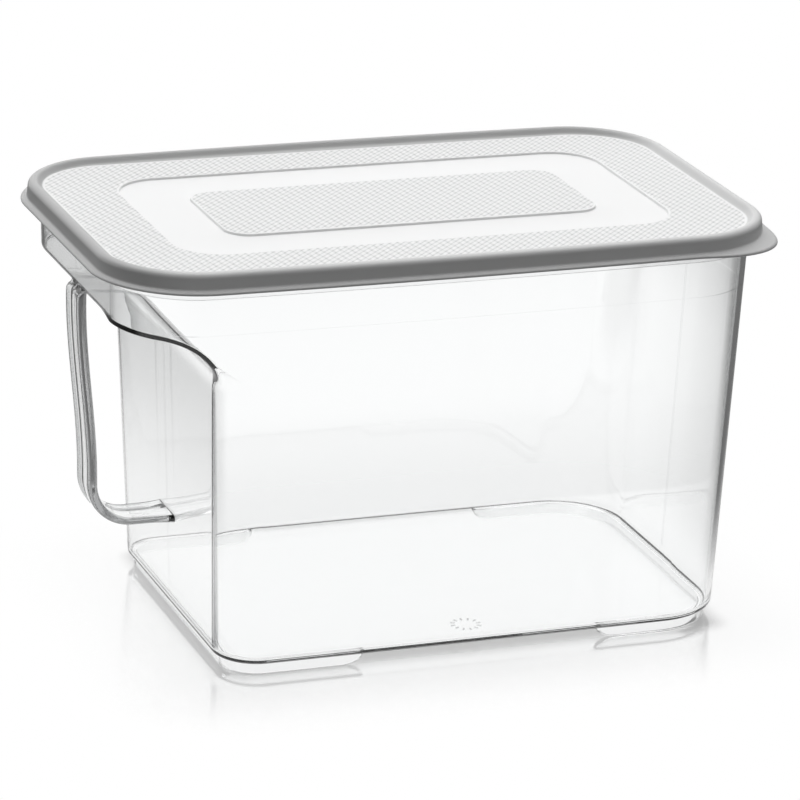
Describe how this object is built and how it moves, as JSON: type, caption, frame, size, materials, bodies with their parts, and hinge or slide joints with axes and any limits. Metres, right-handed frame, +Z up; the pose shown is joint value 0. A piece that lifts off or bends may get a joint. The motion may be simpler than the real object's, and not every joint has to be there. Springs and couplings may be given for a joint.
{
  "type": "food storage box",
  "caption": "Clear rectangular food box with a looped strap handle moulded under its set-back end, and a frosted press-on lid with a corner pull tab.",
  "frame": {"origin": "on the floor, under the middle of the lid, which is the middle of the whole box", "axes": "+X along the length, away from the handle; +Y across the box, away from the side with the pull tab; +Z up"},
  "size_m": [0.285, 0.1774, 0.1735],
  "materials": {
    "clear_plastic": "clear, colourless and glossy",
    "frosted_plastic": "natural translucent white, fine textured top with smooth bands"
  },
  "bodies": {
    "tub": {"tub": "clear_plastic"},
    "lid": {"lid": "frosted_plastic"}
  },
  "joints": [
    {"name": "lid_lift", "type": "slide", "parent": "tub", "child": "lid", "axis": [0, 0, 1], "range_m": [0, 0.05]}
  ]
}
